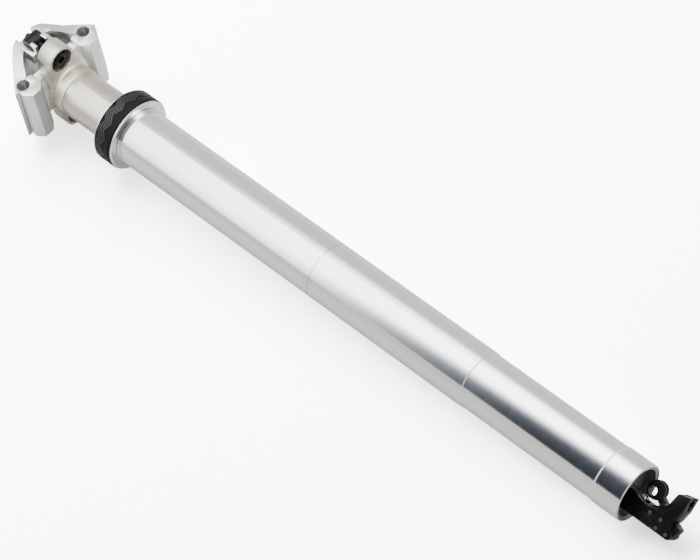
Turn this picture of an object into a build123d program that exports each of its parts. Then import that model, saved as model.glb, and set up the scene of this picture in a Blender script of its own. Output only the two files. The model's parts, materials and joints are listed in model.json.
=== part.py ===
from build123d import *
import math
import os

# Dropper seatpost, fully dropped. Millimetres, +Z up towards the saddle.
# The origin is on the axis, where the plain tube leaves the collar's nose: the
# height of the frame's seat tube when the post is pushed all the way in.
# +X is forward, +Y is to the rider's left.

# Driving dimensions
post_diameter = 31.6
travel = 225.0
travel_overlap = 110.2
rail_spacing = 44.0
rail_diameter = 7.0
rail_drop = 12.7
clamp_length = 36.0

# Lower tube
tube_wall = 1.9
relief_depth = 0.4
relief_length = 84.0
end_band_length = 16.3
relief_taper = 0.4
thread_wall = 0.8
insert_depth = 14.0
tube_neck_length = 9.0
tube_neck_step = 0.4
rim_chamfer = 0.4

# Collar and its soft parts
collar_nose_height = 1.6
collar_nose_wall = 0.7
nose_groove_width = 0.4
nose_groove_depth = 0.5
flange_wall = 4.35
flange_height = 0.9
flange_bevel = 0.6
band_height = 12.0
band_thickness = 2.1
band_stand = 0.5
band_edge = 0.9
collar_lip_height = 0.7
collar_lip_wall = 3.3
wiper_height = 3.6
wiper_lip_height = 1.0
wiper_lip_wall = 0.8
foam_height = 3.0

# Sliding tube and its guides
stanchion_diameter = 26.0
stanchion_wall = 1.5
neck_length = 30.3
bush_clearance = 0.03
upper_bush_length = 9.0
lower_bush_length = 16.0
bush_split = 1.2
stanchion_lift = 19.0
key_diameter = 2.2
key_gap = 0.05
key_length = 14.0
key_lift = 20.0
key_count = 3
key_start_angle = 60.0
snap_ring_height = 1.2
snap_ring_depth = 0.6
snap_ring_width = 1.5
snap_ring_lift = 1.0
snap_ring_opening = 9.0
wiper_gap = 0.1

# Forged head
forging_step = 0.5
spigot_length = 24.0
spigot_wall = 2.5
bolt_reach = 22.2
ear_radius = 8.2
ear_drop = 10.8
ear_height = 9.6
ear_root_width = 10.5
ear_root_reach = 8.4
ear_fillet = 2.4
pivot_rise = 28.3
cradle_radius = 20.1
cradle_gap = 0.3

# Saddle clamp
groove_gap = 0.05
clamp_split_gap = 0.5
clamp_split_drop = 2.0
channel_inner = 7.6
channel_lip = 5.2
channel_inner_rise = 1.6
channel_lip_rise = 2.6
channel_heel = 5.5
channel_sole = 9.2
channel_sole_inner = 4.0
channel_sole_outer = 1.5
channel_outer = 4.7
channel_outer_drop = 5.2
web_rise = 3.3
web_half_length = 14.0
arch_outer_flat = 7.2
arch_foot_drop = 1.6
arch_shoulder_rise = 5.6
arch_knee_reach = 16.0
arch_knee_rise = 14.1
arch_brow_reach = 8.6
arch_brow_rise = 20.5
arch_crown_rise = 22.9
arch_wall = 7.4
arch_knee_wall = 6.0
arch_knee_inset = 2.6
arch_round = 12.0
arch_tip_inset = 0.2
arch_tip_width = 10.5
arch_shoulder_inset = 0.2
seat_block_width = 15.0
seat_block_drop = 6.3
seat_block_length = 6.5
nut_ledge_margin = 4.2
nut_ledge_width = 9.6
nut_diameter = 9.4
nut_length = 9.2
nut_side_gap = 0.3
nut_seat_gap = 0.1
bolt_slot_gap = 0.4
bolt_swing_gap = 1.7

# Bolts
bolt_diameter = 5.0
bolt_head_diameter = 8.5
bolt_head_height = 5.0
bolt_head_drop = 19.9
bolt_end_rise = 5.6
bolt_key = 4.0
bolt_key_depth = 2.6
bolt_edge = 0.5
thread_gap = 0.05
bolt_hole_gap = 0.9
head_recess_gap = 2.55
washer_height = 1.0
washer_margin = 2.15
seat_gap = 0.3

# Gas spring
cartridge_diameter = 21.0
cartridge_wall = 1.1
cartridge_top_gap = 0.3
rod_diameter = 10.0
rod_bore = 3.4
gland_length = 13.0
gland_flange_height = 2.0
gland_flange_gap = 0.1
rod_gap = 0.05
piston_length = 11.0
topout_gap = 5.0
piston_gap = 0.05
seal_height = 2.4
seal_depth = 1.6
bumper_height = 5.0
bumper_wall = 2.5
bumper_gap = 0.3
cap_length = 9.0
fill_screw_diameter = 5.0
fill_screw_length = 6.0
fill_screw_key = 2.5
floating_length = 12.0
floating_lift = 8.0
valve_diameter = 5.6
valve_height = 2.4
valve_stem_diameter = 2.6
valve_stem_length = 2.0
valve_gap = 0.1

# Base insert and release parts, in a plane turned about the axis
actuator_turn = -35.0
base_length = 13.5
base_recess_depth = 6.0
base_recess_wall = 1.9
base_lip = 0.4
base_seat_height = 1.0
pin_diameter = 4.0
pin_shank_diameter = 2.6
pin_gap = 0.1
pin_tip_drop = 5.3
pin_head_length = 10.5
rod_nut_height = 5.0
rod_nut_width = 14.0
lower_bumper_wall = 2.0
lower_bumper_gap = 0.3
bracket_width = 10.4
bracket_back = 9.3
bracket_channel_width = 5.2
bracket_web_wall = 2.4
neck_reach = 1.2
neck_drop = 0.3
waist_reach = -0.6
waist_drop = 7.0
knee_reach = 0.3
knee_drop = 12.6
shoulder_reach = 6.4
shoulder_drop = 17.7
arm_top_reach = 12.4
arm_top_drop = 19.2
arm_tip_reach = 13.8
arm_bottom_drop = 25.6
arm_root_reach = 0.8
arm_root_drop = 24.4
heel_reach = -1.5
heel_drop = 23.5
toe_reach = -7.0
toe_drop = 27.0
back_foot_drop = 25.7
lip_width = 6.0
lip_root_reach = -0.7
lip_root_drop = 24.7
lip_end_reach = -2.3
lip_end_drop = 28.2
lug_radius = 2.7
pivot_reach = 1.8
pivot_drop = 16.3
pivot_pin_diameter = 2.4
pivot_pin_gap = 0.05
lever_thickness = 4.4
lever_end_gap = 0.4
hub_radius = 2.5
nose_reach = -3.0
nose_drop = 8.1
nose_radius = 2.6
nose_stem_width = 3.6
hook_reach = 7.0
hook_drop = 7.4
hook_radius = 4.9
hook_stem_width = 3.4
eye_reach = 5.7
eye_drop = 6.1
eye_diameter = 4.7
wire_groove_width = 1.8
wire_groove_depth = 1.6
stop_slot_width = 2.0
stop_slot_length = 7.2
stop_bore_diameter = 5.2
stop_bore_depth = 3.4
stop_bore_reach = 9.9
dowel_diameter = 2.0
dowel_depth = 1.8
dowel_stand = 0.2
dowel_front_reach = -2.8
dowel_back_reach = -7.35
dowel_upper_drop = 11.6
dowel_middle_drop = 18.0
dowel_lower_drop = 23.9

# Worked-out sizes
tube_radius = post_diameter / 2
tube_bore = tube_radius - tube_wall
stanchion_radius = stanchion_diameter / 2
stanchion_bore = stanchion_radius - stanchion_wall
insertion_length = travel + travel_overlap
tube_bottom = -insertion_length
relief_bottom = tube_bottom + end_band_length
relief_top = relief_bottom + relief_length
relief_radius = tube_radius - relief_depth
insert_radius = tube_radius - thread_wall
insert_top = tube_bottom + insert_depth
tube_top = tube_neck_length
tube_neck_radius = tube_radius - tube_neck_step

flange_bottom = collar_nose_height
flange_top = flange_bottom + flange_height
flange_radius = tube_radius + flange_wall
band_top = flange_top + band_height
band_radius = flange_radius + band_stand
band_seat_radius = band_radius - band_thickness
collar_top = band_top + collar_lip_height
collar_lip_radius = tube_radius + collar_lip_wall
collar_nose_radius = tube_radius + collar_nose_wall
foam_top = tube_top + foam_height
wiper_top = foam_top + wiper_height
wiper_bore = stanchion_radius + wiper_gap

key_radius = key_diameter / 2
key_track = (stanchion_radius + tube_bore) / 2
key_slot_radius = key_radius + key_gap
stanchion_bottom = tube_bottom + stanchion_lift
snap_ring_bottom = stanchion_bottom + snap_ring_lift
snap_ring_top = snap_ring_bottom + snap_ring_height
snap_groove_radius = stanchion_bore + snap_ring_depth

forging_bottom = collar_top + neck_length
forging_radius = stanchion_radius + forging_step
spigot_bottom = forging_bottom - spigot_length
pivot_height = forging_bottom + pivot_rise
ear_top = pivot_height - ear_drop
ear_bottom = ear_top - ear_height

rail_radius = rail_diameter / 2
rail_height = pivot_height - rail_drop
rail_offset = rail_spacing / 2
groove_radius = rail_radius + groove_gap
half_clamp = clamp_length / 2
web_radius = cradle_radius - cradle_gap
web_top = rail_height + web_rise
web_side_bottom = pivot_height - math.sqrt(web_radius**2 - web_half_length**2)
arch_knee_height = rail_height + arch_knee_rise
arch_brow_height = rail_height + arch_brow_rise
arch_crown_height = rail_height + arch_crown_rise
arch_shoulder_width = rail_offset - groove_radius - arch_shoulder_inset
nut_ledge_reach = bolt_reach + nut_ledge_margin
arch_tip_reach = bolt_reach - arch_tip_inset
seat_block_root = arch_tip_reach - seat_block_length
seat_block_middle = (seat_block_root + arch_tip_reach) / 2
nut_radius = nut_diameter / 2
nut_pocket_radius = nut_radius + nut_seat_gap
half_nut_pocket = nut_length / 2 + nut_side_gap

bolt_radius = bolt_diameter / 2
bolt_head_radius = bolt_head_diameter / 2
bolt_head_bottom = pivot_height - bolt_head_drop
bolt_head_top = bolt_head_bottom + bolt_head_height
bolt_end = pivot_height + bolt_end_rise
bolt_slot_end = bolt_reach - bolt_radius - bolt_swing_gap
washer_radius = bolt_head_radius + washer_margin
washer_top = bolt_head_top + washer_height
recess_radius = bolt_head_radius + head_recess_gap
recess_top = washer_top + seat_gap
bolt_hole_radius = bolt_radius + bolt_hole_gap

cartridge_radius = cartridge_diameter / 2
cartridge_bore = cartridge_radius - cartridge_wall
gland_bottom = snap_ring_top
cartridge_bottom = gland_bottom + gland_flange_height
cartridge_top = spigot_bottom - cartridge_top_gap
gland_top = cartridge_bottom + gland_length
rod_radius = rod_diameter / 2
rod_hole = rod_radius + rod_gap
bumper_bore = rod_radius + bumper_gap
piston_bottom = gland_top + bumper_height + travel + topout_gap
piston_top = piston_bottom + piston_length
piston_radius = cartridge_bore - piston_gap
floating_bottom = piston_top + floating_lift
floating_top = floating_bottom + floating_length
cap_bottom = cartridge_top - cap_length

base_bottom = tube_bottom + base_lip
base_top = base_bottom + base_length
base_floor = base_bottom + base_recess_depth
rod_bottom = base_floor + base_seat_height
recess_wall_radius = insert_radius - base_recess_wall
pin_radius = pin_diameter / 2
pin_shank_radius = pin_shank_diameter / 2
pin_tip = tube_bottom - pin_tip_drop
valve_bottom = piston_top + valve_gap
valve_stem_bottom = valve_bottom - valve_stem_length

half_bracket = bracket_width / 2
half_channel = bracket_channel_width / 2
half_lever = lever_thickness / 2
pivot_z = tube_bottom - pivot_drop
pivot_radius = pivot_pin_diameter / 2
channel_floor = pivot_z - hub_radius - lever_end_gap
nose_z = tube_bottom - nose_drop
hook_z = tube_bottom - hook_drop
eye_z = tube_bottom - eye_drop
arm_bottom = tube_bottom - arm_bottom_drop
dowel_places = [
    (dowel_front_reach, dowel_upper_drop),
    (dowel_front_reach, dowel_middle_drop),
    (dowel_back_reach, dowel_middle_drop),
    (dowel_back_reach, dowel_lower_drop),
]
turn = math.radians(actuator_turn)
across = Vector(math.cos(turn), math.sin(turn), 0)
along = Vector(-math.sin(turn), math.cos(turn), 0)
actuator_plane = Plane(origin=(0, 0, 0), x_dir=along, z_dir=across)


def ring(outer, inner, bottom, top):
    with BuildPart() as body:
        with BuildSketch(Plane.XY.offset(bottom)):
            Circle(outer)
            Circle(inner, mode=Mode.SUBTRACT)
        extrude(amount=top - bottom)
    return body


def turned(points):
    """A solid turned about the post's axis from its half section."""
    with BuildPart() as body:
        with BuildSketch(Plane.XZ):
            with BuildLine():
                Polyline(*points, close=True)
            make_face()
        revolve(axis=Axis.Z)
    return body


def split_bush(outer, inner, bottom, top, opening):
    with BuildPart() as body:
        with BuildSketch(Plane.XY.offset(bottom)):
            Circle(outer)
            Circle(inner, mode=Mode.SUBTRACT)
            with Locations((0, (outer + inner) / 2)):
                Rectangle(opening, outer, mode=Mode.SUBTRACT)
        extrude(amount=top - bottom)
    return body


# Lower tube: relieved below the middle, with a full-size band at the end
with BuildPart() as lower_tube:
    with BuildSketch(Plane.XZ):
        with BuildLine():
            Polyline(
                (tube_bore, tube_top),
                (tube_neck_radius, tube_top),
                (tube_neck_radius, 0),
                (tube_radius, 0),
                (tube_radius, relief_top),
                (relief_radius, relief_top - relief_taper),
                (relief_radius, relief_bottom + relief_taper),
                (tube_radius, relief_bottom),
                (tube_radius, tube_bottom + rim_chamfer),
                (tube_radius - rim_chamfer, tube_bottom),
                (insert_radius, tube_bottom),
                (insert_radius, insert_top),
                (tube_bore, insert_top),
                close=True,
            )
        make_face()
    revolve(axis=Axis.Z)
    with BuildSketch(Plane.XY.offset(insert_top)):
        with PolarLocations(key_track, key_count, key_start_angle):
            Circle(key_slot_radius)
    extrude(amount=-insert_top, mode=Mode.SUBTRACT)

# Collar, screwed over the tube's neck down to its shoulder
collar = turned([
    (tube_neck_radius, 0),
    (collar_nose_radius, 0),
    (collar_nose_radius, flange_bottom + nose_groove_depth),
    (collar_nose_radius + nose_groove_width, flange_bottom + nose_groove_depth),
    (collar_nose_radius + nose_groove_width, flange_bottom),
    (flange_radius - flange_bevel, flange_bottom),
    (flange_radius, flange_bottom + flange_bevel),
    (flange_radius, flange_top),
    (band_seat_radius, flange_top),
    (band_seat_radius, band_top),
    (collar_lip_radius, band_top),
    (collar_lip_radius, collar_top),
    (tube_neck_radius, collar_top),
])

with BuildPart() as collar_band:
    with BuildSketch(Plane.XY.offset(flange_top)):
        Circle(band_radius)
        Circle(band_seat_radius, mode=Mode.SUBTRACT)
    extrude(amount=band_height)
    rims = collar_band.edges().filter_by(GeomType.CIRCLE).filter_by(
        lambda edge: edge.radius > collar_lip_radius
    )
    chamfer(rims, band_edge)

foam_ring = ring(tube_neck_radius, wiper_bore, tube_top, foam_top)
wiper_seal = turned([
    (wiper_bore + wiper_lip_wall, foam_top),
    (tube_neck_radius, foam_top),
    (tube_neck_radius, wiper_top),
    (wiper_bore + wiper_lip_wall, wiper_top),
    (wiper_bore, wiper_top + wiper_lip_height),
    (wiper_bore, wiper_top - wiper_lip_height),
])
upper_bush = split_bush(
    tube_bore, stanchion_radius + bush_clearance, tube_top - upper_bush_length, tube_top, bush_split
)

# Sliding tube
with BuildPart() as stanchion:
    with BuildSketch(Plane.XY.offset(stanchion_bottom)):
        Circle(stanchion_radius)
        Circle(stanchion_bore, mode=Mode.SUBTRACT)
    extrude(amount=forging_bottom - stanchion_bottom)
    with BuildSketch(Plane.XY.offset(snap_ring_bottom)):
        Circle(snap_groove_radius)
        Circle(stanchion_bore, mode=Mode.SUBTRACT)
    extrude(amount=snap_ring_height, mode=Mode.SUBTRACT)
    with BuildSketch(Plane.XY.offset(stanchion_bottom + key_lift)):
        with PolarLocations(key_track, key_count, key_start_angle):
            Circle(key_radius)
    extrude(amount=key_length, mode=Mode.SUBTRACT)

with BuildPart() as guide_keys:
    with BuildSketch(Plane.XY.offset(stanchion_bottom + key_lift)):
        with PolarLocations(key_track, key_count, key_start_angle):
            Circle(key_radius)
    extrude(amount=key_length)

lower_bush = split_bush(
    tube_bore - bush_clearance, stanchion_radius,
    stanchion_bottom + bush_split, stanchion_bottom + bush_split + lower_bush_length, bush_split,
)
snap_ring = split_bush(
    snap_groove_radius, snap_groove_radius - snap_ring_width,
    snap_ring_bottom, snap_ring_top, snap_ring_opening,
)

# Head: a forging with a cradle between two ears for the clamp bolts
with BuildPart() as head:
    with BuildSketch(Plane.XY.offset(spigot_bottom)):
        Circle(stanchion_bore)
        Circle(stanchion_bore - spigot_wall, mode=Mode.SUBTRACT)
    extrude(amount=spigot_length)
    with BuildSketch(Plane.XY.offset(forging_bottom)):
        Circle(forging_radius)
    extrude(amount=ear_top - forging_bottom)
    with BuildSketch(Plane.XY.offset(ear_bottom)):
        with BuildLine():
            Polyline(
                (0, ear_root_width),
                (ear_root_reach, ear_root_width),
                (bolt_reach, ear_radius),
                (bolt_reach, 0),
                (0, 0),
                close=True,
            )
        make_face()
        mirror(about=Plane.XZ)
        mirror(about=Plane.YZ)
        with Locations((bolt_reach, 0), (-bolt_reach, 0)):
            Circle(ear_radius)
    extrude(amount=ear_top - ear_bottom)
    neck_rims = head.edges().filter_by_position(Axis.Z, ear_bottom, ear_bottom).filter_by(
        lambda edge: edge.geom_type == GeomType.CIRCLE and edge.radius == forging_radius
    )
    fillet(neck_rims, ear_fillet)
    with BuildSketch(Plane.XZ):
        with Locations((0, pivot_height)):
            Circle(cradle_radius)
    extrude(amount=post_diameter, both=True, mode=Mode.SUBTRACT)
    with BuildSketch(Plane.XY.offset(ear_bottom)):
        with Locations((bolt_reach, 0), (-bolt_reach, 0)):
            Circle(recess_radius)
    extrude(amount=recess_top - ear_bottom, mode=Mode.SUBTRACT)
    with BuildSketch(Plane.XY.offset(recess_top)):
        with Locations((bolt_reach, 0), (-bolt_reach, 0)):
            Circle(bolt_hole_radius)
    extrude(amount=ear_top - recess_top, mode=Mode.SUBTRACT)

# Lower clamp: a cradle web between two rail channels
with BuildPart() as lower_clamp:
    with BuildSketch(Plane.XZ):
        with BuildLine():
            Polyline(
                (-web_half_length, web_top),
                (-web_half_length, web_side_bottom),
            )
            ThreePointArc(
                (-web_half_length, web_side_bottom),
                (0, pivot_height - web_radius),
                (web_half_length, web_side_bottom),
            )
            Polyline(
                (web_half_length, web_side_bottom),
                (web_half_length, web_top),
                (-web_half_length, web_top),
            )
        make_face()
    extrude(amount=rail_offset - channel_inner, both=True)
    with BuildSketch(Plane.YZ):
        with BuildLine():
            Polyline(
                (rail_offset - channel_lip, rail_height + channel_lip_rise),
                (rail_offset - channel_inner, rail_height + channel_inner_rise),
                (rail_offset - channel_inner, rail_height - channel_heel),
                (rail_offset - channel_sole_inner, rail_height - channel_sole),
                (rail_offset + channel_sole_outer, rail_height - channel_sole),
                (rail_offset + channel_outer, rail_height - channel_outer_drop),
                (rail_offset + channel_outer, rail_height - clamp_split_drop),
                close=True,
            )
        make_face()
        mirror(about=Plane.YZ)
        with Locations((rail_offset, rail_height), (-rail_offset, rail_height)):
            Circle(groove_radius, mode=Mode.SUBTRACT)
    extrude(amount=half_clamp, both=True)

# Upper clamp: an arch over both rails, with a fork at each end for its nut
with BuildPart() as upper_clamp:
    with BuildSketch(Plane.YZ) as arch_profile:
        with BuildLine():
            Polyline(
                (0, arch_crown_height),
                (arch_brow_reach, arch_brow_height),
                (arch_knee_reach, arch_knee_height),
                (rail_offset + channel_sole_outer, rail_height + arch_shoulder_rise),
                (rail_offset + arch_outer_flat, rail_height - arch_foot_drop),
                (rail_offset + channel_outer, rail_height - clamp_split_drop + clamp_split_gap),
                (rail_offset - channel_lip, rail_height + channel_lip_rise + clamp_split_gap),
                (arch_knee_reach - arch_knee_inset, arch_knee_height - arch_knee_wall),
                (arch_brow_reach, arch_brow_height - arch_wall),
                (0, arch_crown_height - arch_wall),
                close=True,
            )
        make_face()
        mirror(about=Plane.YZ)
        bends = arch_profile.vertices().group_by(Axis.Y)[-6:]
        fillet([corner for level in bends for corner in level], arch_round)
        with Locations((rail_offset, rail_height), (-rail_offset, rail_height)):
            Circle(groove_radius, mode=Mode.SUBTRACT)
    extrude(amount=arch_tip_reach, both=True)
    with BuildSketch(Plane.XY.offset(pivot_height - seat_block_drop)):
        with Locations((seat_block_middle, 0), (-seat_block_middle, 0)):
            Rectangle(arch_tip_reach - seat_block_root, seat_block_width)
    extrude(amount=arch_crown_height - arch_wall - pivot_height + seat_block_drop)
    with BuildSketch(Plane.XY):
        with BuildLine():
            Polyline(
                (half_clamp, rail_offset + arch_outer_flat),
                (half_clamp, arch_shoulder_width),
                (arch_tip_reach, arch_tip_width),
                (arch_tip_reach, 0),
                (0, 0),
                (0, rail_offset + arch_outer_flat),
                close=True,
            )
        make_face()
        mirror(about=Plane.XZ)
        mirror(about=Plane.YZ)
    extrude(amount=arch_crown_height, mode=Mode.INTERSECT)
    with BuildSketch(Plane.XY.offset(pivot_height - seat_block_drop)):
        with Locations((bolt_reach, 0), (-bolt_reach, 0)):
            Rectangle(2 * (nut_ledge_reach - bolt_reach), nut_ledge_width)
    extrude(amount=seat_block_drop)
    with BuildSketch(Plane.XZ):
        for side in (1, -1):
            with Locations((side * bolt_reach, pivot_height)):
                Circle(nut_pocket_radius)
            with Locations((side * bolt_reach, (pivot_height + arch_crown_height) / 2)):
                Rectangle(2 * nut_pocket_radius, arch_crown_height - pivot_height)
    extrude(amount=half_nut_pocket, both=True, mode=Mode.SUBTRACT)
    with BuildSketch(Plane.XY.offset(pivot_height - seat_block_drop)):
        for side in (1, -1):
            with Locations((side * nut_ledge_reach, 0)):
                Rectangle(2 * (nut_ledge_reach - bolt_slot_end), 2 * (bolt_radius + bolt_slot_gap))
    extrude(amount=arch_crown_height - pivot_height + seat_block_drop, mode=Mode.SUBTRACT)


def clamp_bolt(side):
    with BuildPart() as bolt:
        with BuildSketch(Plane.XY.offset(bolt_head_bottom)):
            with Locations((side * bolt_reach, 0)):
                Circle(bolt_head_radius)
        extrude(amount=bolt_head_height)
        chamfer(bolt.edges().group_by(Axis.Z)[0], bolt_edge)
        with BuildSketch(Plane.XY.offset(bolt_head_top)):
            with Locations((side * bolt_reach, 0)):
                Circle(bolt_radius)
        extrude(amount=bolt_end - bolt_head_top)
        with BuildSketch(Plane.XY.offset(bolt_head_bottom)):
            with Locations((side * bolt_reach, 0)):
                RegularPolygon(bolt_key / 2, 6, major_radius=False)
        extrude(amount=bolt_key_depth, mode=Mode.SUBTRACT)
    return bolt


def bolt_washer(side):
    with BuildPart() as washer:
        with BuildSketch(Plane.XY.offset(bolt_head_top)):
            with Locations((side * bolt_reach, 0)):
                Circle(washer_radius)
                Circle(bolt_radius, mode=Mode.SUBTRACT)
        extrude(amount=washer_height)
    return washer


def barrel_nut(side):
    with BuildPart() as nut:
        with BuildSketch(Plane.XZ):
            with Locations((side * bolt_reach, pivot_height)):
                Circle(nut_radius)
        extrude(amount=nut_length / 2, both=True)
        chamfer(nut.edges().filter_by(GeomType.CIRCLE), bolt_edge)
        with BuildSketch(Plane.XY.offset(pivot_height - nut_radius)):
            with Locations((side * bolt_reach, 0)):
                Circle(bolt_radius + thread_gap)
        extrude(amount=nut_diameter, mode=Mode.SUBTRACT)
    return nut


front_bolt = clamp_bolt(1)
rear_bolt = clamp_bolt(-1)
front_washer = bolt_washer(1)
rear_washer = bolt_washer(-1)
front_nut = barrel_nut(1)
rear_nut = barrel_nut(-1)

# Gas spring: its cylinder rides in the sliding tube, its rod stands on the base
cartridge_tube = ring(cartridge_radius, cartridge_bore, cartridge_bottom, cartridge_top)
gland = turned([
    (rod_hole, gland_bottom),
    (stanchion_bore - gland_flange_gap, gland_bottom),
    (stanchion_bore - gland_flange_gap, cartridge_bottom),
    (cartridge_bore, cartridge_bottom),
    (cartridge_bore, gland_top),
    (rod_hole, gland_top),
    (rod_hole, gland_top - seal_height),
    (rod_hole + seal_depth, gland_top - seal_height),
    (rod_hole + seal_depth, gland_top - 2 * seal_height),
    (rod_hole, gland_top - 2 * seal_height),
])
rod_seal = ring(rod_hole + seal_depth, rod_hole, gland_top - 2 * seal_height, gland_top - seal_height)
topout_bumper = ring(bumper_bore + bumper_wall, bumper_bore, gland_top, gland_top + bumper_height)
cartridge_cap = ring(cartridge_bore, fill_screw_diameter / 2, cap_bottom, cartridge_top)
with BuildPart() as fill_screw:
    with BuildSketch(Plane.XY.offset(cartridge_top - fill_screw_length)):
        Circle(fill_screw_diameter / 2)
    extrude(amount=fill_screw_length)
    with BuildSketch(Plane.XY.offset(cartridge_top)):
        RegularPolygon(fill_screw_key / 2, 6, major_radius=False)
    extrude(amount=-fill_screw_length / 2, mode=Mode.SUBTRACT)
floating_piston = turned([
    (0, floating_bottom),
    (piston_radius, floating_bottom),
    (piston_radius, (floating_bottom + floating_top - seal_height) / 2),
    (piston_radius - seal_depth, (floating_bottom + floating_top - seal_height) / 2),
    (piston_radius - seal_depth, (floating_bottom + floating_top + seal_height) / 2),
    (piston_radius, (floating_bottom + floating_top + seal_height) / 2),
    (piston_radius, floating_top),
    (rod_radius, floating_top),
    (rod_radius, floating_bottom + seal_height),
    (0, floating_bottom + seal_height),
])
floating_seal = ring(
    piston_radius, piston_radius - seal_depth,
    (floating_bottom + floating_top - seal_height) / 2, (floating_bottom + floating_top + seal_height) / 2,
)
piston_rod = ring(rod_radius, rod_bore / 2, rod_bottom, piston_top)
piston = turned([
    (rod_radius, piston_bottom),
    (piston_radius, piston_bottom),
    (piston_radius, (piston_bottom + piston_top - seal_height) / 2),
    (piston_radius - seal_depth, (piston_bottom + piston_top - seal_height) / 2),
    (piston_radius - seal_depth, (piston_bottom + piston_top + seal_height) / 2),
    (piston_radius, (piston_bottom + piston_top + seal_height) / 2),
    (piston_radius, piston_top),
    (rod_radius, piston_top),
])
piston_seal = ring(
    piston_radius, piston_radius - seal_depth,
    (piston_bottom + piston_top - seal_height) / 2, (piston_bottom + piston_top + seal_height) / 2,
)
with BuildPart() as valve_poppet:
    with BuildSketch(Plane.XY.offset(valve_stem_bottom)):
        Circle(valve_stem_diameter / 2)
    extrude(amount=valve_stem_length)
    with BuildSketch(Plane.XY.offset(valve_bottom)):
        Circle(valve_diameter / 2)
    extrude(amount=valve_height)

# Base insert, with the rod's nut and the bottom-out bumper on it
base_insert = turned([
    (pin_radius + pin_gap, base_floor),
    (recess_wall_radius, base_floor),
    (recess_wall_radius, base_bottom + base_lip),
    (recess_wall_radius + base_lip, base_bottom),
    (insert_radius, base_bottom),
    (insert_radius, base_top),
    (rod_radius, base_top),
    (rod_radius, rod_bottom),
    (pin_radius + pin_gap, rod_bottom),
])
with BuildPart() as rod_nut:
    with BuildSketch(Plane.XY.offset(base_top)):
        RegularPolygon(rod_nut_width / 2, 6, major_radius=False)
        Circle(rod_radius, mode=Mode.SUBTRACT)
    extrude(amount=rod_nut_height)
bottom_bumper = ring(
    stanchion_radius, stanchion_radius - lower_bumper_wall,
    base_top, stanchion_bottom - lower_bumper_gap,
)
with BuildPart() as release_pin:
    with BuildSketch(Plane.XY.offset(pin_tip)):
        Circle(pin_radius)
    extrude(amount=pin_head_length)
    fillet(release_pin.edges().group_by(Axis.Z)[0], pin_radius / 2)
    with BuildSketch(Plane.XY.offset(pin_tip + pin_head_length)):
        Circle(pin_shank_radius)
    extrude(amount=valve_stem_bottom - valve_gap - pin_tip - pin_head_length)

# Actuator bracket: two cheeks and a back web, with the cable housing's stop on an arm
cross_plane = Plane(origin=(0, 0, arm_bottom), x_dir=along, z_dir=(0, 0, 1))
with BuildPart() as actuator_bracket:
    with BuildSketch(actuator_plane):
        with BuildLine():
            inner_curve = ThreePointArc(
                (neck_reach, tube_bottom - neck_drop),
                (waist_reach, tube_bottom - waist_drop),
                (knee_reach, tube_bottom - knee_drop),
            )
            knee_curve = TangentArc(
                inner_curve @ 1,
                (shoulder_reach, tube_bottom - shoulder_drop),
                tangent=inner_curve % 1,
            )
            Polyline(
                knee_curve @ 1,
                (arm_top_reach, tube_bottom - arm_top_drop),
                (arm_tip_reach, arm_bottom),
                (shoulder_reach, arm_bottom),
                (arm_root_reach, tube_bottom - arm_root_drop),
                (heel_reach, tube_bottom - heel_drop),
                (toe_reach, tube_bottom - toe_drop),
                (-bracket_back, tube_bottom - back_foot_drop),
                (-bracket_back, base_floor),
                (neck_reach, base_floor),
                (neck_reach, tube_bottom - neck_drop),
            )
        make_face()
        with Locations((pivot_reach, pivot_z)):
            Circle(lug_radius)
    extrude(amount=half_bracket, both=True)
    with BuildSketch(actuator_plane):
        with BuildLine():
            Polyline(
                (toe_reach, tube_bottom - toe_drop),
                (heel_reach, tube_bottom - heel_drop),
                (lip_root_reach, tube_bottom - lip_root_drop),
                (lip_end_reach, tube_bottom - lip_end_drop),
                close=True,
            )
        make_face()
    extrude(amount=lip_width / 2, both=True)
    with BuildSketch(actuator_plane):
        with BuildLine():
            Polyline(
                (bracket_web_wall - bracket_back, base_floor),
                (bracket_web_wall - bracket_back, channel_floor),
                (shoulder_reach, channel_floor),
                (shoulder_reach, base_floor),
                close=True,
            )
        make_face()
    extrude(amount=half_channel, both=True, mode=Mode.SUBTRACT)
    with BuildSketch(actuator_plane):
        with Locations((pivot_reach, pivot_z)):
            Circle(pivot_radius)
    extrude(amount=half_bracket, both=True, mode=Mode.SUBTRACT)
    with BuildSketch(cross_plane):
        with Locations((arm_tip_reach - stop_slot_length / 2, 0)):
            Rectangle(stop_slot_length, stop_slot_width)
    extrude(amount=arm_bottom_drop - shoulder_drop, mode=Mode.SUBTRACT)
    with BuildSketch(cross_plane):
        with Locations((stop_bore_reach, 0)):
            Circle(stop_bore_diameter / 2)
    extrude(amount=stop_bore_depth, mode=Mode.SUBTRACT)
    with BuildSketch(actuator_plane.offset(half_bracket - dowel_depth)):
        for reach, drop in dowel_places:
            with Locations((reach, tube_bottom - drop)):
                Circle(dowel_diameter / 2)
    extrude(amount=dowel_depth, mode=Mode.SUBTRACT)

with BuildPart() as bracket_dowels:
    with BuildSketch(actuator_plane.offset(half_bracket - dowel_depth)):
        for reach, drop in dowel_places:
            with Locations((reach, tube_bottom - drop)):
                Circle(dowel_diameter / 2)
    extrude(amount=dowel_depth + dowel_stand)

with BuildPart() as lever_pin:
    with BuildSketch(actuator_plane):
        with Locations((pivot_reach, pivot_z)):
            Circle(pivot_radius)
    extrude(amount=half_bracket, both=True)

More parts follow.
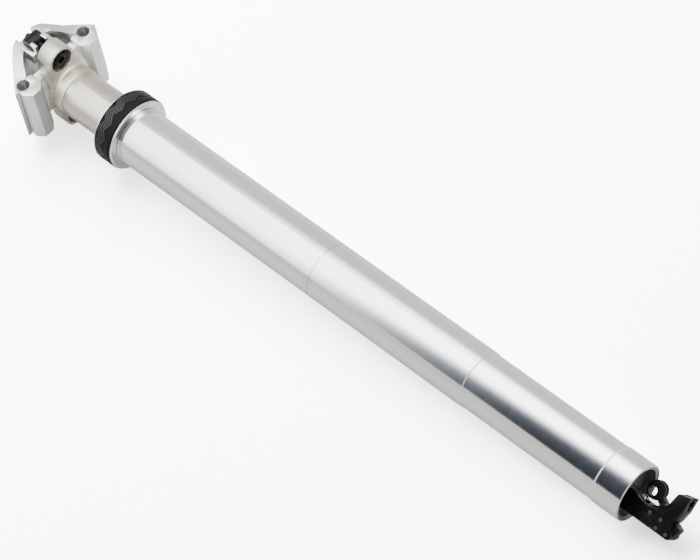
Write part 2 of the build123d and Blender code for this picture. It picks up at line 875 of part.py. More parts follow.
# Release lever: a nose under the release pin and a hooked head for the cable's end
with BuildPart() as release_lever:
    with BuildSketch(actuator_plane):
        with BuildLine():
            Line((pivot_reach, pivot_z), (nose_reach, nose_z))
        trace(line_width=nose_stem_width)
        with BuildLine():
            Line((pivot_reach, pivot_z), (hook_reach, hook_z))
        trace(line_width=hook_stem_width)
        with Locations((pivot_reach, pivot_z)):
            Circle(hub_radius)
        with Locations((nose_reach, nose_z)):
            Circle(nose_radius)
        with Locations((hook_reach, hook_z)):
            Circle(hook_radius)
        with Locations((eye_reach, eye_z)):
            Circle(eye_diameter / 2, mode=Mode.SUBTRACT)
        with Locations((pivot_reach, pivot_z)):
            Circle(pivot_radius + pivot_pin_gap, mode=Mode.SUBTRACT)
    extrude(amount=half_lever, both=True)
    with BuildSketch(actuator_plane):
        with Locations((hook_reach, hook_z)):
            Circle(hook_radius)
            Circle(hook_radius - wire_groove_depth, mode=Mode.SUBTRACT)
        with Locations((eye_reach - hook_radius, eye_z)):
            Rectangle(2 * hook_radius, 2 * (hook_radius + wire_groove_depth), mode=Mode.SUBTRACT)
    extrude(amount=wire_groove_width / 2, both=True, mode=Mode.SUBTRACT)

pieces = {
    "lower_tube": lower_tube,
    "collar": collar,
    "collar_band": collar_band,
    "foam_ring": foam_ring,
    "wiper_seal": wiper_seal,
    "upper_bush": upper_bush,
    "base_insert": base_insert,
    "rod_nut": rod_nut,
    "bottom_bumper": bottom_bumper,
    "piston_rod": piston_rod,
    "piston": piston,
    "piston_seal": piston_seal,
    "actuator_bracket": actuator_bracket,
    "bracket_dowels": bracket_dowels,
    "lever_pin": lever_pin,
    "stanchion": stanchion,
    "head": head,
    "lower_bush": lower_bush,
    "guide_keys": guide_keys,
    "snap_ring": snap_ring,
    "cartridge_tube": cartridge_tube,
    "gland": gland,
    "rod_seal": rod_seal,
    "topout_bumper": topout_bumper,
    "cartridge_cap": cartridge_cap,
    "fill_screw": fill_screw,
    "floating_piston": floating_piston,
    "floating_seal": floating_seal,
    "lower_clamp": lower_clamp,
    "upper_clamp": upper_clamp,
    "front_nut": front_nut,
    "rear_nut": rear_nut,
    "front_bolt": front_bolt,
    "rear_bolt": rear_bolt,
    "front_washer": front_washer,
    "rear_washer": rear_washer,
    "release_lever": release_lever,
    "release_pin": release_pin,
    "valve_poppet": valve_poppet,
}
os.makedirs("parts", exist_ok=True)
for name, piece in pieces.items():
    piece.part.label = name
    export_step(piece.part, f"parts/{name}.step")
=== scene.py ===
# %% [markdown]
# # A dropper seatpost, dressed for the camera
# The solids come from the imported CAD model. This script gives each one a procedural
# finish, rounds the forged and machined edges, threads the bolts, adds the ribs of the
# silicone band, and rebuilds the photograph's camera and light. Everything is in metres,
# in the CAD frame.

import json
import math

import bmesh
import bpy
from mathutils import Matrix, Vector


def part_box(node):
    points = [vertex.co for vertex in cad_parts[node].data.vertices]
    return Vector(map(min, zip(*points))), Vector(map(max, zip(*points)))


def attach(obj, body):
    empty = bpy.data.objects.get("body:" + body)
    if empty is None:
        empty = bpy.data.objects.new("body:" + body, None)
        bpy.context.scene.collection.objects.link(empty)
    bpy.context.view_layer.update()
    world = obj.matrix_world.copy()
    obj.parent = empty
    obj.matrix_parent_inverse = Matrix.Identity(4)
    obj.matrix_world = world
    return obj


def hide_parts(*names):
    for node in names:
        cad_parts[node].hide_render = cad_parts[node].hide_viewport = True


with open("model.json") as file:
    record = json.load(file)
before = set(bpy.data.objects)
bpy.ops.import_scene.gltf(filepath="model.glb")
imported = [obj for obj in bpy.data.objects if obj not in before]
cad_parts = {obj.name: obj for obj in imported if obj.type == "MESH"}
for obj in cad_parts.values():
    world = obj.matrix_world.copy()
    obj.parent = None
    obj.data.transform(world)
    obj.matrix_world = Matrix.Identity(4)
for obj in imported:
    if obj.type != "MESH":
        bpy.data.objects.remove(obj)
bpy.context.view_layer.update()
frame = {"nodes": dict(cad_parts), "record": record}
nodes = frame["nodes"]
MM = 0.001
MICRON = 1e-6

# %% [markdown]
# ## Small tools for node trees
# Each shader is a tree of nodes. `add` makes one node: its settings go in by name, and
# each socket takes either a plain value or the output socket that feeds it.


# %% Node tree tools
def add(tree, kind, sockets=None, **settings):
    """A new node with its settings, and its input sockets set or linked."""
    node = tree.nodes.new(kind)
    for key, value in settings.items():
        setattr(node, key, value)
    for key, value in (sockets or {}).items():
        if isinstance(value, bpy.types.NodeSocket):
            tree.links.new(value, node.inputs[key])
        else:
            node.inputs[key].default_value = value
    return node


def maths(tree, operation, *values):
    """The output of a Math node over the given values or sockets."""
    sockets = {place: value for place, value in enumerate(values)}
    return add(tree, "ShaderNodeMath", sockets, operation=operation).outputs[0]


def multiply(tree, first, second):
    """The product of two numbers."""
    return maths(tree, "MULTIPLY", first, second)


def subtract(tree, first, second):
    """The first number less the second."""
    return maths(tree, "SUBTRACT", first, second)


def vector_times(tree, vector, factors):
    """The vector with each coordinate times its own factor."""
    sockets = {0: vector, 1: factors}
    return add(tree, "ShaderNodeVectorMath", sockets, operation="MULTIPLY").outputs[0]


def remap(tree, value, low, high, to_low=0.0, to_high=1.0):
    """value from low..high onto to_low..to_high, smoothed and held at the ends."""
    sockets = {"Value": value, 1: low, 2: high, 3: to_low, 4: to_high}
    node = add(tree, "ShaderNodeMapRange", sockets, interpolation_type="SMOOTHSTEP")
    return node.outputs[0]


def noise(tree, vector, scale, detail=2.0):
    """The value of a noise texture, from 0 to 1."""
    sockets = {"Vector": vector, "Scale": scale, "Detail": detail}
    return add(tree, "ShaderNodeTexNoise", sockets).outputs[0]


def new_group(name, inputs, outputs):
    """An empty shader group with the named sockets: its tree, its inlets and its outlets."""
    tree = bpy.data.node_groups.new(name, "ShaderNodeTree")
    for in_out, sockets in (("INPUT", inputs), ("OUTPUT", outputs)):
        for label, kind in sockets:
            tree.interface.new_socket(
                name=label, in_out=in_out, socket_type="NodeSocket" + kind
            )
    return tree, tree.nodes.new("NodeGroupInput").outputs, tree.nodes.new("NodeGroupOutput").inputs


# %% [markdown]
# ## Shared surface effects
# Three groups serve every material. `metal_grain` varies colour, roughness and height
# with clouds and a grain that can be stretched into brushing or turning rings.
# `height_band` marks a band round the post, for etched lines and patches.
# `fine_scratches` marks thin scattered lines, for places that rub.

# %% Grain group
NOISE_MIDDLE = 0.5
CLOUD_DETAIL, GRAIN_DETAIL = 4.0, 3.0
GRAIN_IN_COLOUR = 0.5  # how much of the grain shows in the colour
SHIFT_IN_ROUGHNESS = 0.4  # how much of clouds and grain shows in the roughness
LEAST_ROUGHNESS = 0.04

grain_group, inlets, outlets = new_group(
    "metal_grain",
    [
        ("Vector", "Vector"),
        ("Base Color", "Color"),
        ("Roughness", "Float"),
        ("Cloud Scale", "Float"),
        ("Cloud Amount", "Float"),
        ("Grain Scale", "Float"),
        ("Grain Amount", "Float"),
        ("Stretch", "Vector"),
    ],
    [("Base Color", "Color"), ("Roughness", "Float"), ("Height", "Float")],
)
tree = grain_group
stretched = vector_times(tree, inlets["Vector"], inlets["Stretch"])
clouds = noise(tree, inlets["Vector"], inlets["Cloud Scale"], CLOUD_DETAIL)
grains = noise(tree, stretched, inlets["Grain Scale"], GRAIN_DETAIL)
cloud_shift = multiply(tree, subtract(tree, clouds, NOISE_MIDDLE), inlets["Cloud Amount"])
grain_shift = multiply(tree, subtract(tree, grains, NOISE_MIDDLE), inlets["Grain Amount"])
shift = maths(tree, "ADD", cloud_shift, multiply(tree, grain_shift, GRAIN_IN_COLOUR))
tint = add(
    tree,
    "ShaderNodeVectorMath",
    {0: inlets["Base Color"], "Scale": maths(tree, "ADD", 1.0, shift)},
    operation="SCALE",
).outputs[0]
both_shifts = maths(tree, "ADD", cloud_shift, grain_shift)
rough = maths(
    tree, "ADD", inlets["Roughness"], multiply(tree, both_shifts, SHIFT_IN_ROUGHNESS)
)
tree.links.new(tint, outlets["Base Color"])
tree.links.new(maths(tree, "MAXIMUM", rough, LEAST_ROUGHNESS), outlets["Roughness"])
tree.links.new(grains, outlets["Height"])

# %% Band group
band_group, inlets, outlets = new_group(
    "height_band",
    [("Vector", "Vector"), ("Centre", "Float"), ("Half Width", "Float"), ("Edge", "Float")],
    [("Mask", "Float")],
)
tree = band_group
height = add(tree, "ShaderNodeSeparateXYZ", {0: inlets["Vector"]}).outputs[2]
distance = maths(tree, "ABSOLUTE", subtract(tree, height, inlets["Centre"]))
outside = maths(tree, "DIVIDE", subtract(tree, distance, inlets["Half Width"]), inlets["Edge"])
mask = add(tree, "ShaderNodeClamp", {0: subtract(tree, 1.0, outside)}).outputs[0]
tree.links.new(mask, outlets["Mask"])

# %% Scratch group
LINE_DETAIL = 1.0
PLACE_SCALE, PLACE_DETAIL = 90.0, 3.0
PLACE_NONE, PLACE_FULL = 0.62, 0.5  # noise values where scratches stop and where all show

scratch_group, inlets, outlets = new_group(
    "fine_scratches",
    [
        ("Vector", "Vector"),
        ("Stretch", "Vector"),
        ("Scale", "Float"),
        ("Width", "Float"),
        ("Cover", "Float"),
    ],
    [("Mask", "Float")],
)
tree = scratch_group
stretched = vector_times(tree, inlets["Vector"], inlets["Stretch"])
waves = noise(tree, stretched, inlets["Scale"], LINE_DETAIL)
off_middle = maths(tree, "ABSOLUTE", subtract(tree, waves, NOISE_MIDDLE))
thin = maths(tree, "LESS_THAN", off_middle, inlets["Width"])
places = noise(tree, inlets["Vector"], PLACE_SCALE, PLACE_DETAIL)
cover = multiply(tree, remap(tree, places, PLACE_NONE, PLACE_FULL), inlets["Cover"])
tree.links.new(multiply(tree, thin, cover), outlets["Mask"])
print("shader groups", [g.name for g in bpy.data.node_groups])

# %% [markdown]
# ## The finishes
# `finish` builds a material: object coordinates go through `metal_grain` into the
# Principled shader, and the grain's height into a Bump node. `layer` then lays another
# colour and roughness over it where a mask says so.

# %% Material tools
BUMP_STRENGTH = 0.5
EVEN = (1, 1, 1)
ALONG_Z = (1, 1, 0.02)
RINGS = (0.02, 0.02, 1)


def finish(name, colour, metallic, roughness, clouds, grain, depth, stretch=EVEN):
    """A cloudy, grained material. clouds and grain are (scale, amount), depth in microns."""
    material = bpy.data.materials.new(name)
    material.use_nodes = True
    tree = material.node_tree
    shader = tree.nodes["Principled BSDF"]
    group = add(tree, "ShaderNodeGroup", node_tree=grain_group)
    values = {
        "Base Color": (*colour, 1.0),
        "Roughness": roughness,
        "Cloud Scale": clouds[0],
        "Cloud Amount": clouds[1],
        "Grain Scale": grain[0],
        "Grain Amount": grain[1],
        "Stretch": stretch,
    }
    for key, value in values.items():
        group.inputs[key].default_value = value
    place = add(tree, "ShaderNodeTexCoord").outputs["Object"]
    tree.links.new(place, group.inputs["Vector"])
    relief = {
        "Height": group.outputs["Height"],
        "Strength": BUMP_STRENGTH,
        "Distance": depth * MICRON,
    }
    bump = add(tree, "ShaderNodeBump", relief)
    tree.links.new(group.outputs["Base Color"], shader.inputs["Base Color"])
    tree.links.new(group.outputs["Roughness"], shader.inputs["Roughness"])
    tree.links.new(bump.outputs["Normal"], shader.inputs["Normal"])
    shader.inputs["Metallic"].default_value = metallic
    return material


def object_place(material):
    """The object coordinates that a material already reads."""
    coordinates = next(n for n in material.node_tree.nodes if n.type == "TEX_COORD")
    return coordinates.outputs["Object"]


def effect(material, group, **values):
    """The mask of a shared group placed in this material, with its own values."""
    node = add(material.node_tree, "ShaderNodeGroup", node_tree=group)
    for key, value in values.items():
        node.inputs[key.replace("_", " ")].default_value = value
    material.node_tree.links.new(object_place(material), node.inputs["Vector"])
    return node.outputs["Mask"]


def layer(material, mask, colour, roughness):
    """Lays a colour and a roughness over the finish where mask is 1."""
    tree = material.node_tree
    shader = tree.nodes["Principled BSDF"]
    under = shader.inputs["Base Color"].links[0].from_socket
    mix = add(tree, "ShaderNodeMix", {0: mask, 6: under, 7: (*colour, 1.0)}, data_type="RGBA")
    tree.links.new(mix.outputs[2], shader.inputs["Base Color"])
    under = shader.inputs["Roughness"].links[0].from_socket
    mix = add(tree, "ShaderNodeMix", {0: mask, 2: under, 3: roughness})
    tree.links.new(mix.outputs[0], shader.inputs["Roughness"])


# %% Bright metals
tube_alloy = finish(
    "satin_tube", (0.785, 0.78, 0.765), metallic=1.0, roughness=0.16,
    clouds=(22, 0.04), grain=(2600, 0.12), depth=2, stretch=RINGS,
)
blasted_alloy = finish(
    "blasted_forging", (0.60, 0.575, 0.49), metallic=0.9, roughness=0.40,
    clouds=(45, 0.14), grain=(4200, 0.6), depth=12,
)
sliding_alloy = finish(
    "sliding_tube", (0.56, 0.535, 0.45), metallic=1.0, roughness=0.30,
    clouds=(30, 0.08), grain=(3000, 0.2), depth=3, stretch=RINGS,
)
polished_alloy = finish(
    "polished_clamp", (0.8, 0.8, 0.8), metallic=1.0, roughness=0.3,
    clouds=(55, 0.10), grain=(3000, 0.4), depth=4,
)
collar_alloy = finish(
    "turned_collar", (0.78, 0.78, 0.77), metallic=1.0, roughness=0.16,
    clouds=(40, 0.10), grain=(3200, 0.5), depth=4, stretch=RINGS,
)
ground_steel = finish(
    "ground_rod", (0.66, 0.66, 0.66), metallic=1.0, roughness=0.18,
    clouds=(60, 0.15), grain=(2400, 0.5), depth=3, stretch=ALONG_Z,
)
plain_steel = finish(
    "machined_steel", (0.13, 0.13, 0.135), metallic=1.0, roughness=0.38,
    clouds=(120, 0.2), grain=(2600, 0.6), depth=6,
)
key_brass = finish(
    "brass_keys", (0.72, 0.52, 0.25), metallic=1.0, roughness=0.3,
    clouds=(90, 0.2), grain=(2600, 0.5), depth=6, stretch=ALONG_Z,
)

# %% Dark metals
black_turned = finish(
    "black_turned", (0.03, 0.03, 0.033), metallic=0.4, roughness=0.32,
    clouds=(40, 0.3), grain=(2600, 0.8), depth=8, stretch=RINGS,
)
black_alloy = finish(
    "black_anodised", (0.005, 0.005, 0.006), metallic=0.0, roughness=0.32,
    clouds=(70, 0.5), grain=(5200, 0.6), depth=6,
)
insert_alloy = finish(
    "insert_face", (0.3, 0.3, 0.31), metallic=0.85, roughness=0.4,
    clouds=(60, 0.3), grain=(3200, 0.6), depth=6, stretch=RINGS,
)
black_steel = finish(
    "black_oxide", (0.008, 0.008, 0.009), metallic=0.0, roughness=0.34,
    clouds=(140, 0.5), grain=(4200, 0.7), depth=6,
)

# %% Rubbers and plastics
silicone_band = finish(
    "silicone", (0.006, 0.006, 0.0065), metallic=0.0, roughness=0.5,
    clouds=(80, 0.4), grain=(5200, 0.5), depth=12,
)
# The ribs are the band's own silicone, drawn about twice as light as painted sheen so that they
# stand out from the band.
silicone_ribs_painted_sheen = finish(
    "silicone_ribs_painted_sheen", (0.013, 0.013, 0.0135), metallic=0.0, roughness=0.45,
    clouds=(80, 0.4), grain=(5200, 0.5), depth=12,
)
seal_rubber = finish(
    "seal_lips", (0.02, 0.02, 0.02), metallic=0.0, roughness=0.6,
    clouds=(90, 0.4), grain=(4200, 0.5), depth=15,
)
bumper_rubber = finish(
    "bumpers", (0.12, 0.105, 0.09), metallic=0.0, roughness=0.55,
    clouds=(120, 0.3), grain=(3600, 0.5), depth=15,
)
foam = finish(
    "oiled_foam", (0.32, 0.31, 0.29), metallic=0.0, roughness=0.95,
    clouds=(300, 0.4), grain=(2200, 1.0), depth=200,
)
bush_plastic = finish(
    "bushes", (0.27, 0.235, 0.13), metallic=0.0, roughness=0.42,
    clouds=(150, 0.3), grain=(3200, 0.5), depth=8, stretch=RINGS,
)

# %% [markdown]
# ## Marks and wear
# The tube has an etched line and a bright broken edge above its plain end. The bolts
# carry a broken patch of blue thread lock. Parts that rub have fine scratches, which run
# along the tube where the scratch pattern is stretched that way.

# %% Marks on the tube
etched_line = effect(
    tube_alloy, band_group, Centre=-133.2 * MM, Half_Width=0.12 * MM, Edge=0.08 * MM
)
layer(tube_alloy, etched_line, colour=(0.16, 0.16, 0.17), roughness=0.5)
broken_edge = effect(
    tube_alloy, band_group, Centre=-319.1 * MM, Half_Width=0.26 * MM, Edge=0.1 * MM
)
layer(tube_alloy, broken_edge, colour=(0.82, 0.82, 0.81), roughness=0.7)

# %% Scratches
SCRATCHES = [
    (
        tube_alloy, dict(Stretch=(1, 1, 0.05), Scale=900.0, Width=0.005, Cover=0.12),
        dict(colour=(0.8, 0.8, 0.8), roughness=0.4),
    ),
    (
        sliding_alloy, dict(Stretch=(1, 1, 0.03), Scale=1100.0, Width=0.005, Cover=0.3),
        dict(colour=(0.62, 0.61, 0.58), roughness=0.3),
    ),
    (
        black_alloy, dict(Stretch=EVEN, Scale=420.0, Width=0.008, Cover=0.5),
        dict(colour=(0.03, 0.03, 0.032), roughness=0.3),
    ),
    (
        polished_alloy, dict(Stretch=EVEN, Scale=500.0, Width=0.006, Cover=0.3),
        dict(colour=(0.6, 0.6, 0.6), roughness=0.34),
    ),
]
for material, pattern, look in SCRATCHES:
    layer(material, effect(material, scratch_group, **pattern), **look)

# %% Thread lock on the bolts
PATCH_SCALE = 520.0
PATCH_NONE, PATCH_FULL = 0.42, 0.5  # noise values where the patch stops and where it is whole
tree = black_steel.node_tree
lock = effect(black_steel, band_group, Centre=64.6 * MM, Half_Width=1.9 * MM, Edge=0.4 * MM)
broken = remap(tree, noise(tree, object_place(black_steel), PATCH_SCALE), PATCH_NONE, PATCH_FULL)
layer(black_steel, multiply(tree, lock, broken), colour=(0.02, 0.13, 0.55), roughness=0.55)

# %% Weak mirror of the black pieces
MIRROR_LEVELS = [(black_alloy, 0.22), (black_steel, 0.15), (silicone_band, 0.1)]
for material, level in MIRROR_LEVELS:
    shader = material.node_tree.nodes["Principled BSDF"]
    shader.inputs["Specular IOR Level"].default_value = level
print("materials", len(bpy.data.materials))

# %% [markdown]
# ## Which piece takes which finish
# Each CAD node is in one list. Nodes whose shape is right keep it and take the finish
# through their material slot; the others are replaced further on.

# %% Finish of each node
FINISHES = [
    (tube_alloy, "tube_alloy", ["lower_tube"]),
    (blasted_alloy, "blasted_alloy", ["head"]),
    (sliding_alloy, "blasted_alloy", ["stanchion"]),
    (polished_alloy, "polished_alloy", ["lower_clamp", "upper_clamp"]),
    (collar_alloy, "polished_alloy", ["collar"]),
    (black_alloy, "black_alloy", ["actuator_bracket", "release_lever"]),
    (insert_alloy, "black_alloy", ["base_insert"]),
    (black_turned, "black_alloy", ["cartridge_tube", "gland", "cartridge_cap", "piston"]),
    (ground_steel, "ground_steel", ["piston_rod", "release_pin", "valve_poppet"]),
    (plain_steel, "plain_steel", ["bracket_dowels", "rod_nut", "snap_ring", "fill_screw"]),
    (black_steel, "black_steel", ["front_bolt", "rear_bolt", "front_nut", "rear_nut"]),
    (black_steel, "black_steel", ["front_washer", "rear_washer", "lever_pin"]),
    (key_brass, "key_brass", ["guide_keys"]),
    (silicone_band, "silicone_band", ["collar_band"]),
    (seal_rubber, "seal_rubber", ["wiper_seal", "piston_seal", "rod_seal", "floating_seal"]),
    (bumper_rubber, "bumper_rubber", ["bottom_bumper", "topout_bumper"]),
    (foam, "foam", ["foam_ring"]),
    (bush_plastic, "bush_plastic", ["upper_bush", "lower_bush", "floating_piston"]),
]
finish_of = {name: material for material, slot, names in FINISHES for name in names}
bodies = frame["record"]["behaviour"]["bodies"]
body_of = {name: body for body, names in bodies.items() for name in names}
assert sorted(finish_of) == sorted(nodes), set(nodes) ^ set(finish_of)
for name, node in nodes.items():
    node.data.materials.clear()
    node.data.materials.append(finish_of[name])

# %% [markdown]
# ## Rounded edges
# A machined edge is never quite sharp, and the small highlight along it is what makes
# metal read as metal. `rounded` copies a node's mesh, merges its loose triangles into
# clean faces, rounds every edge sharper than 30 degrees, and stands for the node.

# %% Rounding tools
SAME_POINT = 2 * MICRON
NO_LENGTH = 1 * MICRON
FLAT_ANGLE = math.radians(0.6)
SHARP_ANGLE = math.radians(30)
SHADE_ANGLE = math.radians(40)  # turned and threaded pieces shade smoothly up to this
ROUND_STEPS = 3


def link(piece):
    """Puts an object in the scene."""
    bpy.context.collection.objects.link(piece)
    return piece


def shade_smooth(mesh):
    """Smooth shading on every face."""
    mesh.polygons.foreach_set("use_smooth", [True] * len(mesh.polygons))


def final_mesh(piece):
    """The mesh that a helper object's modifiers give; the helper is removed."""
    view = bpy.context.evaluated_depsgraph_get()
    mesh = bpy.data.meshes.new_from_object(piece.evaluated_get(view))
    bpy.data.objects.remove(piece)
    return mesh


def bmesh_to_mesh(work, name):
    """A new mesh from an edit mesh, which is freed."""
    mesh = bpy.data.meshes.new(name)
    work.to_mesh(mesh)
    work.free()
    return mesh


def place_mesh(name, mesh, material, body):
    """A finished piece from a mesh that is already in the CAD frame."""
    piece = link(bpy.data.objects.new(name, mesh))
    mesh.materials.clear()
    mesh.materials.append(material)
    shade_smooth(mesh)
    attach(piece, body)
    return piece


def merged(node_name):
    """The node's surface with its triangles joined up and its flat faces whole."""
    work = bmesh.new()
    work.from_mesh(nodes[node_name].data)
    work.transform(nodes[node_name].matrix_world)
    bmesh.ops.remove_doubles(work, verts=work.verts, dist=SAME_POINT)
    bmesh.ops.dissolve_degenerate(work, edges=work.edges, dist=NO_LENGTH)
    bmesh.ops.dissolve_limit(
        work, angle_limit=FLAT_ANGLE, verts=work.verts, edges=work.edges
    )
    return work


def rounded(node_name, width):
    """The node with its sharp edges rounded to this width, standing for it."""
    mesh = bmesh_to_mesh(merged(node_name), "sharp")
    shade_smooth(mesh)
    helper = link(bpy.data.objects.new("helper", mesh))
    bevel = helper.modifiers.new("round", "BEVEL")
    bevel.width = width
    bevel.segments = ROUND_STEPS
    bevel.limit_method = "ANGLE"
    bevel.angle_limit = SHARP_ANGLE
    bevel.miter_outer = "MITER_ARC"
    bevel.harden_normals = True
    bevel.use_clamp_overlap = True
    done = final_mesh(helper)
    done.name = node_name + "_rounded"
    piece = place_mesh(
        node_name + "_dressed", done,
        finish_of[node_name], body_of[node_name],
    )
    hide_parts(node_name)
    print(node_name, "faces", len(done.polygons))


# %% Round the outer metal pieces
EDGES = {
    "head": 0.5,
    "upper_clamp": 0.8,
    "lower_clamp": 0.6,
    "actuator_bracket": 0.3,
    "release_lever": 0.3,
    "front_nut": 0.2,
    "rear_nut": 0.2,
    "base_insert": 0.15,
}
for name, width in EDGES.items():
    rounded(name, width * MM)

# %% [markdown]
# ## Threaded bolts
# The bolt heads keep the CAD shape. The shank is thinned and gets a thread: a sleeve
# whose radius rises and falls once per turn, and fades out at both ends.

# %% Bolt threads
PITCH = 0.8 * MM
CREST = 2.48 * MM
THREAD_DEPTH = 0.38 * MM
SHANK_RADIUS, SHANK_SPREAD = 2.5 * MM, 0.02 * MM
THREAD_LOW, THREAD_HIGH = 59.2 * MM, 79.2 * MM
TURN_STEPS = 28
RISE_STEPS = 6


def thin_shank(work, axis_x):
    """Draws the shank's outer points in to the thread's root."""
    for vert in work.verts:
        reach = math.hypot(vert.co.x - axis_x, vert.co.y)
        on_shank = abs(reach - SHANK_RADIUS) < SHANK_SPREAD
        if on_shank and vert.co.z > THREAD_LOW - MM:
            share = (CREST - THREAD_DEPTH) / reach
            vert.co.x = axis_x + (vert.co.x - axis_x) * share
            vert.co.y *= share


def thread_ring(work, axis_x, level):
    """One ring of thread points at this height."""
    fade = min(1.0, (THREAD_HIGH - level) / PITCH, (level - THREAD_LOW) / PITCH)
    ring = []
    for step in range(TURN_STEPS):
        turn = step / TURN_STEPS
        phase = (level / PITCH - turn) % 1.0
        radius = CREST - THREAD_DEPTH * (1 - abs(2 * phase - 1) * fade)
        angle = 2 * math.pi * turn
        across, along = radius * math.cos(angle), radius * math.sin(angle)
        ring.append(work.verts.new((axis_x + across, along, level)))
    return ring


def threaded_bolt(name):
    """The node's bolt with a thread on its shank, standing for it."""
    axis_x = sum(v.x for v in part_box(name)) / 2
    work = merged(name)
    thin_shank(work, axis_x)
    length = THREAD_HIGH - THREAD_LOW
    rows = int(length / PITCH * RISE_STEPS)
    rings = [thread_ring(work, axis_x, THREAD_LOW + length * row / rows) for row in range(rows + 1)]
    for below, above in zip(rings, rings[1:]):
        for step in range(TURN_STEPS):
            after = (step + 1) % TURN_STEPS
            work.faces.new((below[step], below[after], above[after], above[step]))
    work.faces.new(reversed(rings[0]))
    work.faces.new(rings[-1])
    mesh = bmesh_to_mesh(work, name + "_threaded")
    piece = place_mesh(name + "_dressed", mesh, black_steel, body_of[name])
    mesh.set_sharp_from_angle(angle=SHADE_ANGLE)
    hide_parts(name)
    print(name, "faces", len(mesh.polygons))


for name in ("front_bolt", "rear_bolt"):
    threaded_bolt(name)

# %% [markdown]
# ## The silicone band
# The sleeve is turned from a profile: a smooth strip next to the flange, and above it a
# sunken floor. Raised ribs stand on that floor in slanted columns, leaning left and right
# in turn. They repeat round the ring, so Geometry Nodes places them.


# %% Turned shapes
def turned(profile, steps):
    """A closed ring from a profile of (radius, height) in millimetres, anticlockwise."""
    work = bmesh.new()
    rings = []
    for step in range(steps):
        angle = 2 * math.pi * step / steps
        across, along = math.cos(angle), math.sin(angle)
        rings.append([
            work.verts.new((r * MM * across, r * MM * along, z * MM)) for r, z in profile
        ])
    for step in range(steps):
        here, after = rings[step], rings[(step + 1) % steps]
        for place in range(len(profile)):
            following = (place + 1) % len(profile)
            work.faces.new((here[place], after[place], after[following], here[following]))
    bmesh.ops.recalc_face_normals(work, faces=work.faces)
    return bmesh_to_mesh(work, "turned")


# %% Band sleeve
BAND_IN, BAND_OUT, BAND_FLOOR = 18.56, 20.64, 20.36  # radii in mm
BAND_LOW, BAND_HIGH, STRIP_TOP, RIB_TOP = 2.5, 14.5, 6.5, 13.7  # heights in mm
SLEEVE_STEPS = 144
LOW_CORNER = [(0.9, 0.0), (0.45, 0.2), (0.15, 0.5), (0.0, 1.0)]  # inset, rise
STRIP_CORNER = [(0.0, -0.2), (0.12, 0.0)]
STRIP_FOOT = 0.1
TOP_CORNER = [(0.3, -0.3), (0.7, 0.0)]
sleeve = turned(
    [(BAND_IN, BAND_LOW)]
    + [(BAND_OUT - inset, BAND_LOW + rise) for inset, rise in LOW_CORNER]
    + [(BAND_OUT - inset, STRIP_TOP + rise) for inset, rise in STRIP_CORNER]
    + [(BAND_FLOOR, STRIP_TOP + STRIP_FOOT), (BAND_FLOOR, RIB_TOP)]
    + [(BAND_FLOOR - inset, BAND_HIGH + rise) for inset, rise in TOP_CORNER]
    + [(BAND_IN, BAND_HIGH)],
    SLEEVE_STEPS,
)
band_piece = place_mesh("band_sleeve", sleeve, silicone_band, "lower_body")
sleeve.set_sharp_from_angle(angle=SHADE_ANGLE)
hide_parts("collar_band")

# %% Rib pattern tree
RIB_CUTS = 5  # points along a rib, so that it can bend round the ring
rib_tree = bpy.data.node_groups.new("band_ribs", "GeometryNodeTree")
face = rib_tree.interface
face.new_socket(name="Geometry", in_out="OUTPUT", socket_type="NodeSocketGeometry")
for label, kind in [
    ("Columns", "Int"), ("Rows", "Int"), ("Radius", "Float"), ("Bottom", "Float"),
    ("Row Pitch", "Float"), ("Column Width", "Float"), ("Lean", "Float"),
    ("Rib Size", "Vector"), ("Material", "Material"),
]:
    face.new_socket(name=label, in_out="INPUT", socket_type="NodeSocket" + kind)
inlets = rib_tree.nodes.new("NodeGroupInput").outputs
outlets = rib_tree.nodes.new("NodeGroupOutput").inputs
tree = rib_tree
index = add(tree, "GeometryNodeInputIndex").outputs[0]
column = maths(tree, "MODULO", index, inlets["Columns"])
row = maths(tree, "FLOOR", maths(tree, "DIVIDE", index, inlets["Columns"]))
odd_column = maths(tree, "MODULO", column, 2.0)
side = subtract(tree, multiply(tree, odd_column, 2.0), 1.0)
rise = multiply(tree, row, inlets["Row Pitch"])
flat_place = add(tree, "ShaderNodeCombineXYZ", {
    0: multiply(tree, column, inlets["Column Width"]),
    2: maths(tree, "ADD", inlets["Bottom"], rise),
}).outputs[0]
lean = add(tree, "ShaderNodeCombineXYZ", {1: multiply(tree, side, inlets["Lean"])}).outputs[0]
count = multiply(tree, inlets["Columns"], inlets["Rows"])
points = add(tree, "GeometryNodePoints", {"Count": count, "Position": flat_place}).outputs[0]
rib_shape = {"Size": inlets["Rib Size"], "Vertices X": RIB_CUTS}
rib = add(tree, "GeometryNodeMeshCube", rib_shape).outputs[0]
places = {"Points": points, "Instance": rib, "Rotation": lean}
copies = add(tree, "GeometryNodeInstanceOnPoints", places).outputs[0]
strip = add(tree, "GeometryNodeRealizeInstances", {0: copies}).outputs[0]

# %% [markdown]
# The ribs now lie in a flat strip: X runs along the band, Y is their height above it.
# Wrapping turns X into an angle and Y into a radius.

# %% Wrap the strip round the ring
position = add(tree, "GeometryNodeInputPosition").outputs[0]
flat = add(tree, "ShaderNodeSeparateXYZ", {0: position}).outputs
angle = maths(tree, "DIVIDE", flat[0], inlets["Radius"])
reach = maths(tree, "ADD", inlets["Radius"], flat[1])
round_place = add(tree, "ShaderNodeCombineXYZ", {
    0: multiply(tree, reach, maths(tree, "COSINE", angle)),
    1: multiply(tree, reach, maths(tree, "SINE", angle)),
    2: flat[2],
}).outputs[0]
bent = {"Geometry": strip, "Position": round_place}
wrapped = add(tree, "GeometryNodeSetPosition", bent).outputs[0]
paint = {"Geometry": wrapped, "Material": inlets["Material"]}
painted = add(tree, "GeometryNodeSetMaterial", paint).outputs[0]
tree.links.new(painted, outlets["Geometry"])

